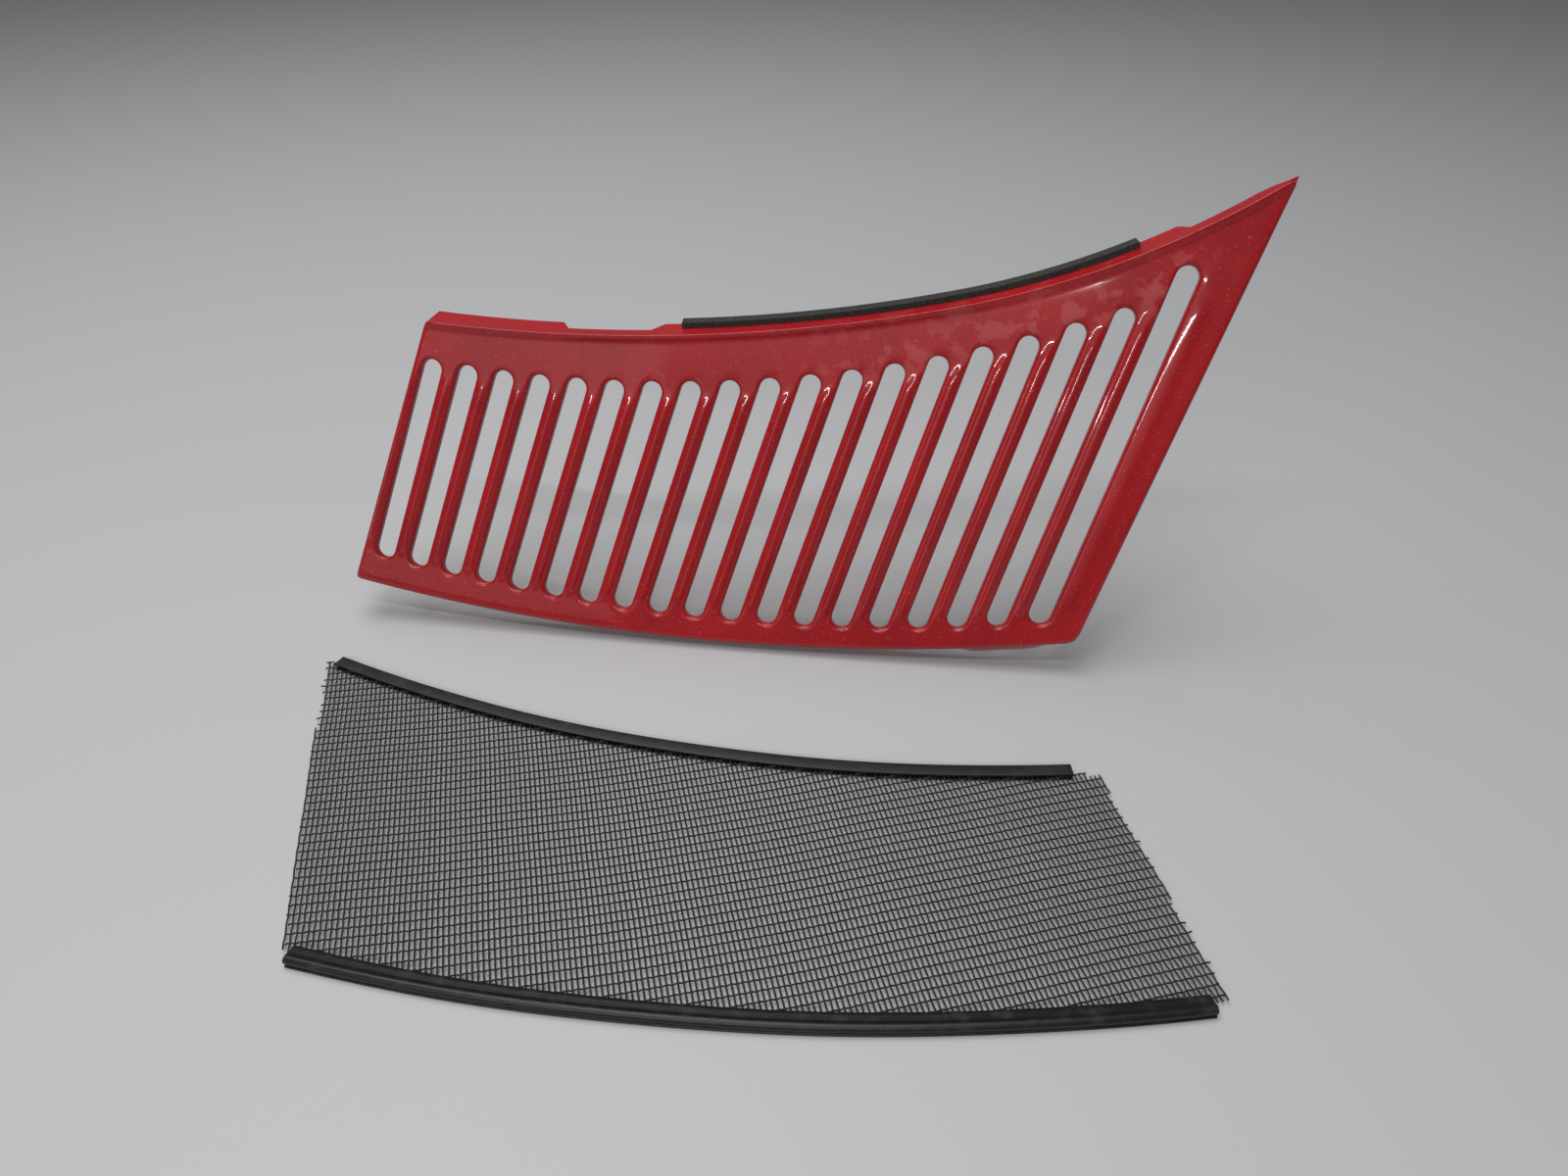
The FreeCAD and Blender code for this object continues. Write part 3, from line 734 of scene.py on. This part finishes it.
def noise(tree, scale, detail=3.0, low=0.4, high=0.6):
    """Noise over the piece itself, stretched so that low becomes 0 and high becomes 1."""
    place = tree.nodes.new("ShaderNodeTexCoord")
    texture = tree.nodes.new("ShaderNodeTexNoise")
    texture.inputs["Scale"].default_value = scale
    texture.inputs["Detail"].default_value = detail
    spread = tree.nodes.new("ShaderNodeMapRange")
    spread.inputs["From Min"].default_value = low
    spread.inputs["From Max"].default_value = high
    tree.links.new(place.outputs["Object"], texture.inputs["Vector"])
    tree.links.new(texture.outputs["Fac"], spread.inputs["Value"])
    return spread.outputs["Result"]


def times(tree, a, b):
    node = tree.nodes.new("ShaderNodeMath")
    node.operation = "MULTIPLY"
    for socket, value in zip(node.inputs, (a, b)):
        if isinstance(value, float):
            socket.default_value = value
        else:
            tree.links.new(value, socket)
    return node.outputs["Value"]


def blend_colors(tree, share, first, second):
    """Colour that goes from first to second as share goes from 0 to 1."""
    node = tree.nodes.new("ShaderNodeMix")
    node.data_type = "RGBA"
    tree.links.new(share, node.inputs["Factor"])
    for index, value in zip(MIX_COLOR_INPUTS, (first, second)):
        if isinstance(value, tuple):
            node.inputs[index].default_value = value
        else:
            tree.links.new(value, node.inputs[index])
    return node.outputs[MIX_COLOR_OUTPUT]


def blend_values(tree, share, first, second):
    node = tree.nodes.new("ShaderNodeMapRange")
    node.inputs["To Min"].default_value = first
    node.inputs["To Max"].default_value = second
    tree.links.new(share, node.inputs["Value"])
    return node.outputs["Result"]


def bump(tree, bsdf, height, distance):
    node = tree.nodes.new("ShaderNodeBump")
    node.inputs["Distance"].default_value = distance
    tree.links.new(height, node.inputs["Height"])
    tree.links.new(node.outputs["Normal"], bsdf.inputs["Normal"])


def red_paint():
    """Gloss red with a fine orange peel, pale water marks above the slots and small specks."""
    material, tree, bsdf = shader("red_paint", Coat_Weight=0.6, Coat_Roughness=0.06, Roughness=0.42,
                                  Specular_IOR_Level=0.2)
    zone = tree.nodes.new("ShaderNodeAttribute")
    zone.attribute_name = "stain"
    patches = times(tree, zone.outputs["Fac"], noise(tree, scale=95.0, detail=7.0, low=0.52, high=0.58))
    specks = times(tree, noise(tree, scale=900.0, detail=1.0, low=0.66, high=0.72), SPECK_STRENGTH)
    shades = noise(tree, scale=22.0, detail=3.0, low=0.35, high=0.65)
    red = blend_colors(tree, shades, RED_DEEP, RED)
    red = blend_colors(tree, specks, red, CHALK)
    red = blend_colors(tree, times(tree, patches, STAIN_STRENGTH), red, CHALK)
    tree.links.new(red, bsdf.inputs["Base Color"])
    roughness = blend_values(tree, patches, CLEAN_ROUGHNESS, STAINED_ROUGHNESS)
    tree.links.new(roughness, bsdf.inputs["Roughness"])
    bump(tree, bsdf, noise(tree, scale=520.0, detail=2.0, low=0.2, high=0.8), distance=0.00002)
    return material


def black_plastic(name, roughness):
    """Satin black with faint dust."""
    material, tree, bsdf = shader(name, Roughness=roughness, Specular_IOR_Level=0.35)
    dust = noise(tree, scale=160.0, detail=5.0, low=0.5, high=0.75)
    tree.links.new(blend_colors(tree, dust, PLASTIC_BLACK, PLASTIC_DUSTY), bsdf.inputs["Base Color"])
    tree.links.new(blend_values(tree, dust, roughness, roughness + 0.18), bsdf.inputs["Roughness"])
    bump(tree, bsdf, noise(tree, scale=1400.0, detail=2.0), distance=0.00003)
    return material


def wire_coating():
    """Thin black coating, a little worn."""
    material, tree, bsdf = shader("wire_coating", Roughness=0.5, Specular_IOR_Level=0.35)
    worn = noise(tree, scale=300.0)
    tree.links.new(blend_colors(tree, worn, WIRE_BLACK, WIRE_WORN), bsdf.inputs["Base Color"])
    return material


def foam():
    """Open-cell black foam with pale worn cells."""
    material, tree, bsdf = shader("foam", Roughness=0.9)
    cells = noise(tree, scale=1100.0, detail=4.0, low=0.35, high=0.7)
    tree.links.new(blend_colors(tree, cells, FOAM_BLACK, FOAM_WORN), bsdf.inputs["Base Color"])
    bump(tree, bsdf, cells, distance=0.0003)
    return material


def zinc_steel():
    """Plated steel of the studs."""
    material, tree, bsdf = shader("zinc_steel", Metallic=1.0, Roughness=0.35)
    shine = noise(tree, scale=400.0)
    tree.links.new(blend_colors(tree, shine, ZINC_DULL, ZINC_BRIGHT), bsdf.inputs["Base Color"])
    bump(tree, bsdf, noise(tree, scale=700.0), distance=0.00003)
    return material


def dress_cad_nodes():
    """Seal and studs keep their CAD shape and only take a finish."""
    for node, material in (("rear_seal_strip", foam()), ("mounting_studs", zinc_steel())):
        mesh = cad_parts[node].data
        mesh.materials.clear()
        mesh.materials.append(material)


# ================================================================ stage
def make_stage():
    """Plain floor in place of the tread plate."""
    verts = [(x * FLOOR_HALF, y * FLOOR_HALF, 0.0) for x, y in ((-1, -1), (1, -1), (1, 1), (-1, 1))]
    floor = new_object("floor", verts, [(0, 1, 2, 3)])
    floor.data.materials.append(shader("pale_floor", Base_Color=FLOOR_GREY, Roughness=0.6)[0])


def area_light(name, place, size, power):
    data = bpy.data.lights.new(name, "AREA")
    data.shape = "RECTANGLE"
    data.size, data.size_y = size
    data.energy = power
    obj = bpy.data.objects.new(name, data)
    bpy.context.scene.collection.objects.link(obj)
    obj.location = place
    aim = Vector(LIGHT_TARGET) - Vector(place)
    obj.rotation_euler = aim.to_track_quat("-Z", "Y").to_euler()


def make_lights():
    world = bpy.data.worlds.new("studio")
    world.use_nodes = True
    background = world.node_tree.nodes["Background"]
    background.inputs["Color"].default_value = SKY
    background.inputs["Strength"].default_value = SKY_STRENGTH
    bpy.context.scene.world = world
    for light in LIGHTS:
        area_light(*light)


def make_camera():
    data = bpy.data.cameras.new("camera")
    data.lens = CAMERA_LENS
    data.sensor_width = SENSOR
    data.clip_start = 0.01
    obj = bpy.data.objects.new("camera", data)
    bpy.context.scene.collection.objects.link(obj)
    obj.location = Vector(CAMERA_PLACE) * MM
    turn = Matrix.Rotation(math.radians(CAMERA_TURN_DEG), 4, "Z")
    tilt = Matrix.Rotation(math.radians(90.0 - CAMERA_DOWN_DEG), 4, "X")
    roll = Matrix.Rotation(math.radians(CAMERA_ROLL_DEG), 4, "Z")
    obj.rotation_euler = (turn @ tilt @ roll).to_euler()
    bpy.context.scene.camera = obj


# ================================================================ build
def make_look():
    """Plain tone curve, so that the paint keeps its full red."""
    bpy.context.scene.view_settings.view_transform = "Standard"


make_camera()
make_look()
make_lights()
make_stage()
make_panel()
make_mesh()
make_trims()
dress_cad_nodes()
